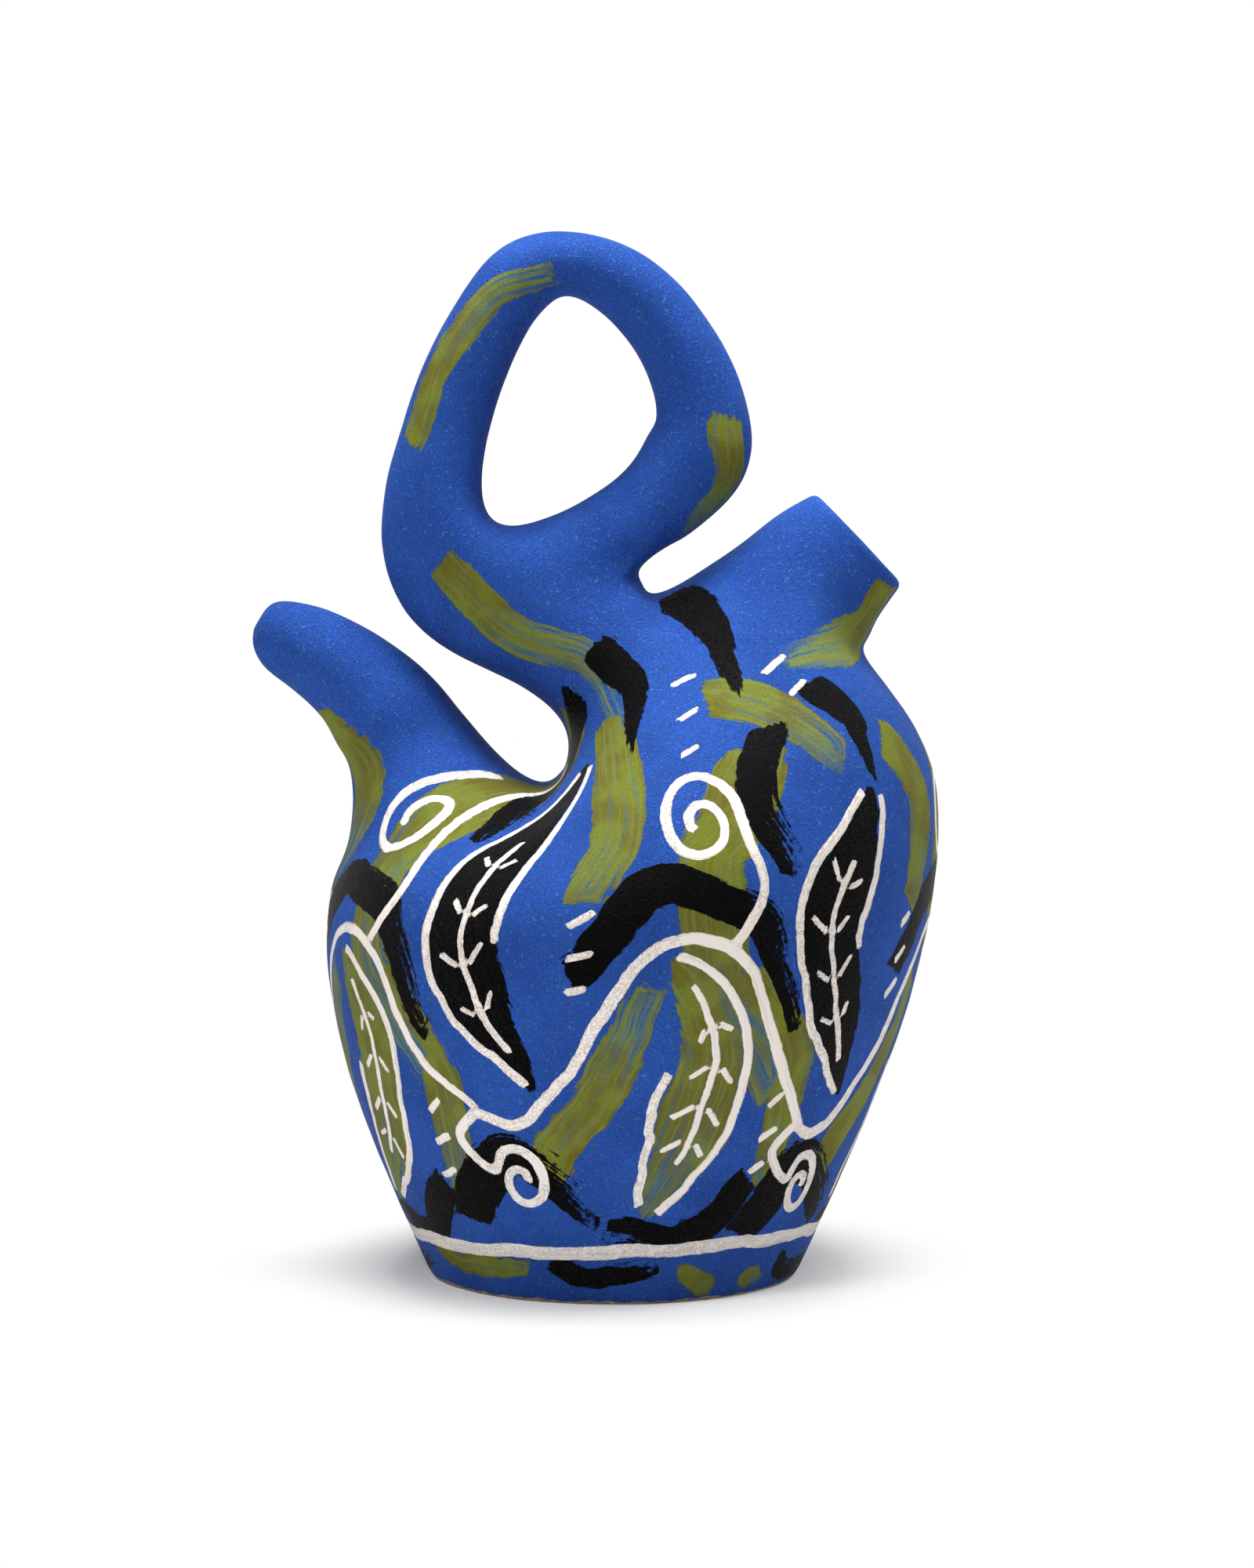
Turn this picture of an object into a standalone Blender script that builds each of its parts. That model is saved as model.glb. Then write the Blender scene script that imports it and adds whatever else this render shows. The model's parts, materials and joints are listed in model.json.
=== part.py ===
"""Spouted water jug: a turned clay body with a filler neck, a pouring spout and a ring handle.

The outside of the jug is one smooth skin, described by rings of points: sixteen round the body and eight round
each limb, which a subdivision surface rounds off. The skin is divided where a potter lutes the pieces together.
Each region gets the clay's thickness, so every piece is a hollow shell that meets the next one edge to edge.

Metres, +Z up. The origin is the centre of the base, the spout points to -X and the filler neck to +X.
"""

import math

import bmesh
import bpy
from mathutils import Vector

# Clay: its thickness, and the gap left along each luted seam
WALL = 0.0065
SEAM_GAP = 0.0003

# Floor disc: its flat face is smaller than the foot of the wall that stands on it
FLOOR_THICKNESS = 0.007
FLOOR_RADIUS = 0.0738
BASE_RADIUS = 0.0685

# Body: a quarter sine from the floor to the belly. Its axis drifts to the filler side as it rises, and the
# belly lies higher on that side.
BELLY_RADIUS = 0.1185
BELLY_HEIGHT = 0.160
BELLY_RISE = 0.022
BELLY_DRIFT = 0.009
SHOULDER_FULLNESS = 0.12

# Places on the limbs are in the jug's plane: to the filler side of the belly's centre, and above it. A limb's
# width is in that plane and its depth is across it, both from its centre line. Its angle is the way it runs,
# in degrees above +X.

# Roots of the three limbs on the shoulder, and the crotches between them
SPOUT_ROOT = (-0.0750, 0.0180)
SPOUT_ROOT_WIDTH = 0.0350
SPOUT_ROOT_DEPTH = 0.0500
SPOUT_ROOT_ANGLE = 105.9
STEM_ROOT = (-0.0158, 0.0665)
STEM_ROOT_WIDTH = 0.0424
STEM_ROOT_DEPTH = 0.0440
STEM_ROOT_ANGLE = 150.7
FILLER_ROOT = (0.0490, 0.0890)
FILLER_ROOT_WIDTH = 0.0360
FILLER_ROOT_DEPTH = 0.0460
FILLER_ROOT_ANGLE = 72.0
SPOUT_CROTCH = (-0.0325, 0.0155)
FILLER_CROTCH = (-0.0010, 0.0990)
CROTCH_DROP = 0.012

# Spout: it rises from the shoulder and bends over, tapers evenly to its nose and then draws in to the tip
SPOUT_TIP = (-0.1410, 0.0884)
SPOUT_TIP_ANGLE = 156.0
SPOUT_BEND = 0.039
SPOUT_WAIST_RADIUS = 0.0264
SPOUT_NOSE_RADIUS = 0.0174
SPOUT_TIP_RADIUS = 0.0119
SPOUT_BORE_RADIUS = 0.0046
SPOUT_RINGS = 4

# Filler neck: a short cone that ends in the mouth
NECK_FOOT = (0.0540, 0.0910)
NECK_FOOT_ANGLE = 58.0
NECK_FOOT_RADIUS = 0.0308
NECK_BEND = 0.013
NECK_RINGS = 2
MOUTH_CENTRE = (0.0820, 0.1206)
MOUTH_ANGLE = 43.7
MOUTH_RADIUS = 0.0243

# Handle: a stem that leans to the spout side and opens into a ring
# Stations of the stem: side, height, half width, half depth, angle
STEM_STATIONS = (
    (-0.0070, 0.0770, 0.0300, 0.0360, 157.9),
    (-0.0220, 0.0910, 0.0330, 0.0270, 132.6),
    (-0.0375, 0.1010, 0.0510, 0.0220, 110.6),
)
FORK_CROTCH = (-0.0460, 0.1202)
# Stations of the ring: side, height, half width. Its half depth lies between the half width and this one.
HANDLE_DEPTH = 0.016
HANDLE_STATIONS = (
    (-0.0787, 0.1335, 0.0207),
    (-0.0730, 0.1610, 0.0170),
    (-0.0660, 0.1850, 0.0158),
    (-0.0555, 0.2070, 0.0150),
    (-0.0428, 0.2228, 0.0142),
    (-0.0260, 0.2279, 0.0130),
    (-0.0025, 0.2180, 0.0137),
    (0.0150, 0.1955, 0.0156),
    (0.0253, 0.1707, 0.0190),
    (0.0217, 0.1502, 0.0202),
    (0.0022, 0.1324, 0.0177),
)

# Fineness of the skin's outside and inside, the floor's edge and the rounded lips
OUTER_LEVELS = 2
INNER_LEVELS = 1
BODY_RINGS = 4
FLOOR_SEGMENTS = 64
FLOOR_EDGE_STEPS = 5
LIP_STEPS = 4

PIECES = ("lower_wall", "shoulder", "spout", "filler_neck", "handle_stem", "handle_loop")
PAINTED_BLUE = (0.030, 0.105, 0.530)
BARE_CLAY = (0.560, 0.440, 0.330)
MATTE = 0.75


def place(side, height):
    """A point of the jug's plane, from the centre of the belly."""
    return Vector((BELLY_DRIFT + side, 0, BELLY_HEIGHT + height))


def direction(angle):
    return Vector((math.cos(math.radians(angle)), 0, math.sin(math.radians(angle))))


def heading(start, end):
    return math.degrees(math.atan2(end.z - start.z, end.x - start.x))


def turns(count):
    return [2 * math.pi * i / count for i in range(count)]


def swell(count):
    """How far a ring of points stands outside the round surface that it is smoothed to."""
    return 3 / (2 + math.cos(2 * math.pi / count))


def proud(values):
    """The values moved off their neighbours' line by as much as smoothing will pull them back."""
    between = [b - (a - 2 * b + c) / 6 for a, b, c in zip(values, values[1:], values[2:])]
    return [values[0], *between, values[-1]]


def ring(centre, angle, width, depth):
    """Eight points round a limb, from its right-hand side by way of +Y."""
    across = direction(angle - 90) * (width * swell(8))
    deep = Vector((0, depth * swell(8), 0))
    return [centre + across * math.cos(a) + deep * math.sin(a) for a in turns(8)]


def body_rings():
    """Rings of the body from the floor up to the belly."""
    rings = []
    for step in range(BODY_RINGS + 1):
        share = step / BODY_RINGS
        radius = FLOOR_RADIUS + (BELLY_RADIUS - FLOOR_RADIUS) * math.sin(share * math.pi / 2)
        height = FLOOR_THICKNESS + (BELLY_HEIGHT - FLOOR_THICKNESS) * share
        rise = BELLY_RISE if step == BODY_RINGS else 0
        points = []
        for a in turns(16):
            out = Vector((math.cos(a), math.sin(a), 0)) * (radius * swell(16))
            points.append(out + Vector((BELLY_DRIFT * share**3, 0, height + rise * math.cos(a))))
        rings.append(points)
    return rings


def root_rings():
    """Where the three limbs leave the shoulder. Neighbours share the points of the crotch between them."""
    spout = ring(place(*SPOUT_ROOT), SPOUT_ROOT_ANGLE, SPOUT_ROOT_WIDTH, SPOUT_ROOT_DEPTH)
    stem = ring(place(*STEM_ROOT), STEM_ROOT_ANGLE, STEM_ROOT_WIDTH, STEM_ROOT_DEPTH)
    filler = ring(place(*FILLER_ROOT), FILLER_ROOT_ANGLE, FILLER_ROOT_WIDTH, FILLER_ROOT_DEPTH)
    drop = Vector((0, 0, CROTCH_DROP))
    for left, right in ((spout, stem), (stem, filler)):
        left[1] = right[3] = (left[1] + right[3]) / 2 - drop
        left[7] = right[5] = (left[7] + right[5]) / 2 - drop
    spout[0] = stem[4] = place(*SPOUT_CROTCH)
    stem[0] = filler[4] = place(*FILLER_CROTCH)
    return spout, stem, filler


def shoulder_ring(belly, top):
    """A ring between the belly and the limbs' roots, raised off the straight way between them."""
    points = []
    for low, high in zip(belly, top):
        chord = high - low
        out = Vector((low.x - high.x, low.y - high.y, 0))
        lift = chord.cross(out).cross(chord).normalized()
        points.append((low + high) / 2 + lift * (SHOULDER_FULLNESS * chord.length))
    return points


def bent_limb(start, start_angle, end, end_angle, reach, radii):
    """Round rings on a curve that leaves start and reaches end at the given angles, one for each radius."""
    first = start + direction(start_angle) * reach
    last = end - direction(end_angle) * reach

    def curve(t):
        s = 1 - t
        return start * s**3 + first * (3 * s * s * t) + last * (3 * s * t * t) + end * t**3

    rings = []
    for i, radius in enumerate(radii, 1):
        t = i / len(radii)
        angle = heading(curve(t - 0.1), curve(t))
        rings.append(ring(curve(t), angle, radius, radius))
    return rings


def fork_rings(fork):
    """The stem's last ring parted by an arch of three points: where the ring's two limbs start."""
    foot = (fork[2] + fork[6]) / 2
    arch = []
    for a in (math.pi / 4, math.pi / 2, math.pi * 3 / 4):
        arch.append(foot.lerp(place(*FORK_CROTCH), math.sin(a)) + (fork[2] - foot) * math.cos(a))
    back, top, front = arch
    left = [top, back, *fork[2:7], front]
    right = [top, back, fork[2], fork[1], fork[0], fork[7], fork[6], front]
    return left, right


def handle_rings(left, right):
    """Rings of the ring handle, from its left limb over the top to its right limb."""
    centres = [place(side, height) for side, height, _ in HANDLE_STATIONS]
    centres = [sum(left, Vector()) / 8, *centres, sum(right, Vector()) / 8]
    widths = proud([width for _, _, width in HANDLE_STATIONS])
    placed = proud(centres)
    rings = []
    for i, width in enumerate(widths, 1):
        angle = heading(centres[i - 1], centres[i + 1])
        rings.append(ring(placed[i], angle, width, (width + HANDLE_DEPTH) / 2))
    return rings


def build_cage():
    """The rings joined into one mesh. A face's material index says which piece it belongs to."""
    bm = bmesh.new()
    wall = bm.verts.layers.float.new("wall")
    made = {}

    def vertex(point):
        key = tuple(round(c, 7) for c in point)
        if key not in made:
            made[key] = bm.verts.new(point)
            made[key][wall] = WALL
        return made[key]

    def join(piece, rings):
        for lower, upper in zip(rings, rings[1:]):
            for i in range(len(lower)):
                corners = (lower[i - 1], lower[i], upper[i], upper[i - 1])
                face = bm.faces.new([vertex(point) for point in corners])
                face.material_index = PIECES.index(piece)

    body = body_rings()
    spout, stem, filler = root_rings()
    top = [*filler[0:4], stem[2], *spout[1:8], stem[6], *filler[5:8]]
    join("lower_wall", body[:-1])
    join("shoulder", [*body[-2:], shoulder_ring(body[-1], top), top])

    step = (SPOUT_WAIST_RADIUS - SPOUT_NOSE_RADIUS) / (SPOUT_RINGS - 1)
    radii = [SPOUT_WAIST_RADIUS - step * i for i in range(SPOUT_RINGS)]
    tip = place(*SPOUT_TIP)
    radii.append(SPOUT_TIP_RADIUS)
    limb = bent_limb(place(*SPOUT_ROOT), SPOUT_ROOT_ANGLE, tip, SPOUT_TIP_ANGLE, SPOUT_BEND, radii)
    join("spout", [spout, *limb])
    for point in limb[-1]:
        vertex(point)[wall] = SPOUT_TIP_RADIUS - SPOUT_BORE_RADIUS

    step = (NECK_FOOT_RADIUS - MOUTH_RADIUS) / NECK_RINGS
    radii = [NECK_FOOT_RADIUS - step * i for i in range(NECK_RINGS + 1)]
    mouth = place(*MOUTH_CENTRE)
    limb = bent_limb(place(*NECK_FOOT), NECK_FOOT_ANGLE, mouth, MOUTH_ANGLE, NECK_BEND, radii)
    join("filler_neck", [filler, *limb])

    trunk = [stem]
    for side, height, width, depth, angle in STEM_STATIONS:
        trunk.append(ring(place(side, height), angle, width, depth))
    join("handle_stem", trunk)
    left, right = fork_rings(trunk[-1])
    join("handle_loop", [left, *handle_rings(left, right), right])

    mesh = bpy.data.meshes.new("cage")
    bm.to_mesh(mesh)
    bm.free()
    return mesh


def smoothed(cage, levels):
    """The cage rounded off into a finer mesh."""
    obj = bpy.data.objects.new("skin", cage)
    bpy.context.scene.collection.objects.link(obj)
    modifier = obj.modifiers.new("smooth", "SUBSURF")
    modifier.levels = modifier.render_levels = levels
    graph = bpy.context.evaluated_depsgraph_get()
    mesh = bpy.data.meshes.new_from_object(obj.evaluated_get(graph))
    bpy.data.objects.remove(obj)
    return mesh


def region(mesh, piece):
    """The faces of one piece by themselves, with each point's normal on the whole skin."""
    bm = bmesh.new()
    bm.from_mesh(mesh)
    bm.normal_update()
    normals = {v: v.normal.copy() for v in bm.verts}
    others = [face for face in bm.faces if face.material_index != PIECES.index(piece)]
    bmesh.ops.delete(bm, geom=others, context="FACES")
    return bm, {v: normals[v] for v in bm.verts}


def open_loops(bm):
    """The open edges as closed loops of points, each in order round its opening."""
    left = [edge for edge in bm.edges if edge.is_boundary]
    loops = []
    while left:
        edge = left.pop()
        start, here = edge.verts
        loop = [start]
        while here != start:
            loop.append(here)
            edge = next(e for e in here.link_edges if e in left)
            left.remove(edge)
            here = edge.other_vert(here)
        loops.append(loop)
    return loops


def middle(loop):
    return sum((v.co for v in loop), Vector()) / len(loop)


def draw_back(loop, normals):
    """Move a seam's edge back along the surface by half the gap."""
    moves = []
    for i, v in enumerate(loop):
        inward = sum((face.calc_center_median() - v.co for face in v.link_faces), Vector())
        beside = loop[(i + 1) % len(loop)].co - loop[i - 1].co
        inward -= inward.project(normals[v])
        inward -= inward.project(beside)
        moves.append(inward.normalized() * (SEAM_GAP / 2))
    for v, move in zip(loop, moves):
        v.co += move


def round_lip(bm, loop, normals, angle):
    """Carry an open end over a half-round lip, and return the lip's last ring of points."""
    wall = bm.verts.layers.float["wall"]
    last = loop
    for step in range(1, LIP_STEPS):
        turn = math.pi * step / LIP_STEPS
        points = []
        for v in loop:
            out = normals[v]
            end = (direction(angle) - direction(angle).project(out)).normalized()
            half = v[wall] / 2
            core = v.co - out * half
            points.append(bm.verts.new(core + (out * math.cos(turn) + end * math.sin(turn)) * half))
        for i in range(len(loop)):
            bm.faces.new((last[i - 1], last[i], points[i], points[i - 1]))
        last = points
    return last


def close_edge(bm, outer, inner):
    """Join an outer loop to the coarser inner loop beside it with triangles."""
    ratio = len(outer) // len(inner)
    start = min(range(len(outer)), key=lambda i: (outer[i].co - inner[0].co).length)
    one_way = outer[start:] + outer[:start]
    other_way = [one_way[0], *reversed(one_way[1:])]
    outer = min(one_way, other_way, key=lambda loop: (loop[ratio].co - inner[1].co).length)
    for k, near in enumerate(inner):
        far = inner[(k + 1) % len(inner)]
        points = [outer[(k * ratio + i) % len(outer)] for i in range(ratio + 1)]
        for i in range(ratio):
            bm.faces.new((points[i], points[i + 1], near if i < ratio // 2 else far))
        bm.faces.new((points[ratio // 2], far, near))


def shell(piece, fine, coarse, lip_angle):
    """One piece as a closed shell: its outside, its inside one wall further in, and the edges between them."""
    bm, normals = region(fine, piece)
    inside, inside_normals = region(coarse, piece)
    outer_loops = open_loops(bm)
    inner_loops = open_loops(inside)
    lips = []
    if lip_angle is not None:
        outward = direction(lip_angle)
        lips.append(max(outer_loops, key=lambda loop: middle(loop).dot(outward)))
        lips.append(max(inner_loops, key=lambda loop: middle(loop).dot(outward)))
    for loops, outs in ((outer_loops, normals), (inner_loops, inside_normals)):
        for loop in loops:
            if loop not in lips:
                draw_back(loop, outs)

    wall = inside.verts.layers.float["wall"]
    centres = [middle(loop) for loop in inner_loops]
    for v in inside.verts:
        on_floor = v.co.z < FLOOR_THICKNESS + SEAM_GAP
        out = Vector((v.co.x, v.co.y, 0)).normalized() if on_floor else inside_normals[v]
        v.co -= out * v[wall]
    copies = {v: bm.verts.new(v.co) for v in inside.verts}
    for face in inside.faces:
        bm.faces.new([copies[v] for v in reversed(face.verts)])

    for loop in outer_loops:
        beside = min(range(len(centres)), key=lambda i: (centres[i] - middle(loop)).length)
        edge = round_lip(bm, loop, normals, lip_angle) if loop in lips else loop
        close_edge(bm, edge, [copies[v] for v in inner_loops[beside]])
    inside.free()
    bmesh.ops.recalc_face_normals(bm, faces=bm.faces)
    return bm, min(centres, key=lambda centre: centre.z)


def floor_disc():
    """The turned floor: flat below, with an edge that curves up to the foot of the wall."""
    top = FLOOR_THICKNESS - SEAM_GAP / 2
    outline = [(0, 0)]
    for step in range(FLOOR_EDGE_STEPS + 1):
        turn = math.pi / 2 * step / FLOOR_EDGE_STEPS
        radius = BASE_RADIUS + (FLOOR_RADIUS - BASE_RADIUS) * math.sin(turn)
        outline.append((radius, top * (1 - math.cos(turn))))
    outline.append((0, top))
    bm = bmesh.new()
    points = [bm.verts.new((radius, 0, height)) for radius, height in outline]
    edges = [bm.edges.new(pair) for pair in zip(points, points[1:])]
    round_once = {"axis": (0, 0, 1), "angle": 2 * math.pi, "steps": FLOOR_SEGMENTS, "use_merge": True}
    bmesh.ops.spin(bm, geom=points + edges, **round_once)
    bmesh.ops.remove_doubles(bm, verts=bm.verts, dist=1e-6)
    bmesh.ops.recalc_face_normals(bm, faces=bm.faces)
    return bm


def clay(name, colour):
    material = bpy.data.materials.new(name)
    material.use_nodes = True
    shader = material.node_tree.nodes["Principled BSDF"]
    shader.inputs["Base Color"].default_value = (*colour, 1)
    shader.inputs["Roughness"].default_value = MATTE
    shader.inputs["Metallic"].default_value = 0
    return material


def add_piece(name, bm, origin, colour, jug):
    """Make a piece's object, with its origin where it is luted on."""
    bmesh.ops.translate(bm, verts=bm.verts, vec=-origin)
    for face in bm.faces:
        face.material_index = 0
        face.smooth = True
    mesh = bpy.data.meshes.new(name)
    bm.to_mesh(mesh)
    bm.free()
    mesh.materials.append(clay(name + "_clay", colour))
    obj = bpy.data.objects.new(name, mesh)
    obj.location = origin
    obj.parent = jug
    bpy.context.scene.collection.objects.link(obj)


def main():
    for obj in list(bpy.data.objects):
        bpy.data.objects.remove(obj)
    jug = bpy.data.objects.new("spouted_water_jug", None)
    bpy.context.scene.collection.objects.link(jug)

    cage = build_cage()
    fine = smoothed(cage, OUTER_LEVELS)
    coarse = smoothed(cage, INNER_LEVELS)
    lip_angles = {"spout": SPOUT_TIP_ANGLE, "filler_neck": MOUTH_ANGLE}
    add_piece("floor_disc", floor_disc(), Vector(), BARE_CLAY, jug)
    for piece in PIECES:
        bm, origin = shell(piece, fine, coarse, lip_angles.get(piece))
        add_piece(piece, bm, origin, PAINTED_BLUE, jug)
    for mesh in (cage, fine, coarse):
        bpy.data.meshes.remove(mesh)


main()
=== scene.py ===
# Looks of the spouted water jug: one smooth skin of clay, cut where a potter lutes it, under matte slips
import json
import math

import bmesh
import bpy
import numpy as np
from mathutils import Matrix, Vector
from mathutils.bvhtree import BVHTree

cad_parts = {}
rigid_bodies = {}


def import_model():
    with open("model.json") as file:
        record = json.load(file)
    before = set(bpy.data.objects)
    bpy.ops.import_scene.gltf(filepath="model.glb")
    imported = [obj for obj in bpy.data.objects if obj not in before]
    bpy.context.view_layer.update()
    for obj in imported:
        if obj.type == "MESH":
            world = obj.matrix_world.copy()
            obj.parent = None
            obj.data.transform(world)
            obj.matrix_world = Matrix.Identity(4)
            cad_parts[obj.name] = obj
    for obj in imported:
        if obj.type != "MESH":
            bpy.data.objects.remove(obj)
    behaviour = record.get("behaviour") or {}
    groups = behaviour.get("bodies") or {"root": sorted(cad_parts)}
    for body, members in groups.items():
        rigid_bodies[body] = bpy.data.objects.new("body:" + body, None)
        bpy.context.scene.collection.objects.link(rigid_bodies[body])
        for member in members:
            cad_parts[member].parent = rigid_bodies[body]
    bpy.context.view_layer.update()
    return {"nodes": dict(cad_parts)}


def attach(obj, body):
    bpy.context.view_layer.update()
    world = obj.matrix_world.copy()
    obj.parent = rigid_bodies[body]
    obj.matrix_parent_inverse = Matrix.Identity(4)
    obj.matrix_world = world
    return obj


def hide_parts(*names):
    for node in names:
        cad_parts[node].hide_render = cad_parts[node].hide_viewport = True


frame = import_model()
print("frame loaded with", len(frame["nodes"]), "pieces")

# metres and degrees in the dictionaries of the pieces, millimetres and degrees in the brushwork
millimetre = 0.001

clay = {
    "wall": 0.0065,
    "fineLevel": 5,      # a point every 1.3 mm on the large pieces
    "slimLevel": 4,      # the same on the slim ones
    "uneven": 0.0011,    # how far the hand leaves the surface from true, from hollow to hump
    "unevenSize": 0.038,
    "lipSteps": 7,       # faces across a half-round lip
    "limbSides": 8,      # points in a limb's ring
    "mergeGap": 1e-5,
    "creaseAngle": 40,   # a sharper edge than this is kept
}

cutPieces = ["lower_wall", "shoulder", "spout", "filler_neck", "handle_stem", "handle_loop"]
innerSlot = len(cutPieces)       # marks the inside of the wall while a piece is made
rimSlot = len(cutPieces) + 1     # marks the edge of the wall


# rings of points that the skin is stretched over

def turns(count):
    return [2 * math.pi * i / count for i in range(count)]


def swell(count):    # how far a ring of points stands outside the round surface that it is smoothed to
    return 3 / (2 + math.cos(2 * math.pi / count))


def proud(values):    # moved off the neighbours' line by as much as smoothing pulls back
    between = [b - (a - 2 * b + c) / 6 for a, b, c in zip(values, values[1:], values[2:])]
    return [values[0], *between, values[-1]]


def place(spot):    # side and height from the belly's centre, in the jug's plane
    return Vector((body["drift"] + spot[0], 0, body["bellyHeight"] + spot[1]))


def direction(angle):
    return Vector((math.cos(math.radians(angle)), 0, math.sin(math.radians(angle))))


def heading(start, end):
    return math.degrees(math.atan2(end.z - start.z, end.x - start.x))


def limbRing(centre, angle, width, depth):    # from the right-hand side by way of the back
    swollen = swell(clay["limbSides"])
    across = direction(angle - 90) * (width * swollen)
    deep = Vector((0, depth * swollen, 0))
    return [centre + across * math.cos(a) + deep * math.sin(a) for a in turns(clay["limbSides"])]


# selecting and pulling in edit mode

def pickOnly(obj):
    bpy.ops.object.select_all(action="DESELECT")
    obj.select_set(True)
    bpy.context.view_layer.objects.active = obj


def editMesh(obj):
    bm = bmesh.from_edit_mesh(obj.data)
    bm.verts.ensure_lookup_table()
    return bm


def pickLoop(cage, loop):
    bpy.ops.mesh.select_mode(type="EDGE")
    bpy.ops.mesh.select_all(action="DESELECT")
    bm = editMesh(cage)
    for a, b in zip(loop, loop[1:] + loop[:1]):
        bm.edges.get((bm.verts[a], bm.verts[b])).select_set(True)
    bmesh.update_edit_mesh(cage.data)


def pullLoop(cage, loop, points, piece):    # extrude a loop to the points, and give the wall to a piece
    pickLoop(cage, loop)
    bpy.ops.mesh.extrude_edges_move()
    bm = editMesh(cage)
    pulled = []
    for index, point in zip(loop, points):
        old = bm.verts[index]
        new = next(e.other_vert(old) for e in old.link_edges if e.other_vert(old).select)
        new.co = point
        for face in new.link_faces:
            face.material_index = cutPieces.index(piece)
        pulled.append(new.index)
    bmesh.update_edit_mesh(cage.data)
    return pulled


def strut(cage, a, b, points):    # a new edge from point a to point b, cut at the given places
    bpy.ops.mesh.select_mode(type="VERT")
    bpy.ops.mesh.select_all(action="DESELECT")
    bm = editMesh(cage)
    count = len(bm.verts)
    bm.verts[a].select_set(True)
    bm.verts[b].select_set(True)
    bmesh.update_edit_mesh(cage.data)
    bpy.ops.mesh.edge_face_add()
    bpy.ops.mesh.subdivide(number_cuts=len(points))
    bm = editMesh(cage)
    bm.verts.index_update()
    here, strutPoints = bm.verts[a], []
    for point in points:
        beside = [e.other_vert(here) for e in here.link_edges]
        here = next(v for v in beside if v.index >= count and v.index not in strutPoints)
        here.co = point
        strutPoints.append(here.index)
    bmesh.update_edit_mesh(cage.data)
    return strutPoints


# body: the foot's circle pulled up to the leaning belly, then drawn in to the roots of the limbs

body = {
    "footHeight": 0.007,
    "footRadius": 0.0738,
    "bellyRadius": 0.1187,
    "bellyHeight": 0.1608,
    "rise": 0.0209,        # the belly lies higher on the filler side
    "drift": 0.0091,       # and its centre lies further over
    "fullness": 0.110,     # of the shoulder, for each length of it
    "rings": 4,
    "sides": 16,
}


def startBody():
    bpy.ops.object.select_all(action="DESELECT")
    swollen = swell(body["sides"])
    foot = {"vertices": body["sides"], "radius": body["footRadius"] * swollen, "fill_type": "NOTHING"}
    bpy.ops.mesh.primitive_circle_add(location=(0, 0, body["footHeight"]), **foot)
    cage = bpy.context.object
    cage.name = "jugCage"
    bpy.ops.object.transform_apply(location=True, rotation=True, scale=True)
    for _ in range(len(cutPieces) + 2):    # for the pieces, the inside and the rim
        bpy.ops.object.material_slot_add()
    bpy.ops.object.mode_set(mode="EDIT")
    bpy.ops.mesh.select_mode(type="EDGE")
    bpy.ops.mesh.select_all(action="SELECT")
    up = (body["bellyHeight"] - body["footHeight"]) / body["rings"]
    radius, drift = body["footRadius"], 0
    for step in range(1, body["rings"] + 1):
        share = step / body["rings"]
        grown = math.sin(share * math.pi / 2)
        wider = body["footRadius"] + (body["bellyRadius"] - body["footRadius"]) * grown
        further = body["drift"] * share**3
        bpy.ops.mesh.extrude_edges_move(TRANSFORM_OT_translate={"value": (further - drift, 0, up)})
        middle = (further, 0, body["footHeight"] + up * step)
        bpy.ops.transform.resize(value=(wider / radius, wider / radius, 1), center_override=middle)
        radius, drift = wider, further
    tilt = math.asin(body["rise"] / (radius * swollen))
    bpy.ops.transform.rotate(value=tilt, orient_axis="Y", center_override=middle)
    bpy.ops.transform.resize(value=(1 / math.cos(tilt), 1, 1), center_override=middle)
    bm = editMesh(cage)
    for face in bm.faces:
        upper = face.calc_center_median().z > body["bellyHeight"] - up
        face.material_index = cutPieces.index("shoulder" if upper else "lower_wall")
    belly = [v for v in bm.verts if v.select]
    slack = 0.01    # so that the first point, at angle 0, isn't sorted last
    belly.sort(key=lambda v: (math.atan2(v.co.y, v.co.x - drift) + slack) % (2 * math.pi))
    bmesh.update_edit_mesh(cage.data)
    return cage, [v.index for v in belly], [v.co.copy() for v in belly]


def shoulderPoints(belly, top):    # halfway to the roots, raised off the straight way there
    points = []
    for low, high in zip(belly, top):
        chord = high - low
        out = Vector((low.x - high.x, low.y - high.y, 0))
        lift = chord.cross(out).cross(chord).normalized()
        points.append((low + high) / 2 + lift * (body["fullness"] * chord.length))
    return points


# roots: where the spout, the stem and the filler neck leave the shoulder

roots = {
    # spot, half width, half depth, angle
    "spout": ((-0.0714, 0.0160), 0.0401, 0.0500, 105.9),
    "stem": ((-0.0063, 0.0594), 0.0437, 0.0440, 150.7),
    "filler": ((0.0496, 0.0897), 0.0355, 0.0460, 72.0),
    "spoutCrotch": (-0.0334, 0.0181),
    "fillerCrotch": (-0.0005, 0.1048),
    "crotchDrop": 0.012,
}


def rootRing(name):
    spot, width, depth, angle = roots[name]
    return limbRing(place(spot), angle, width, depth)


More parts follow.
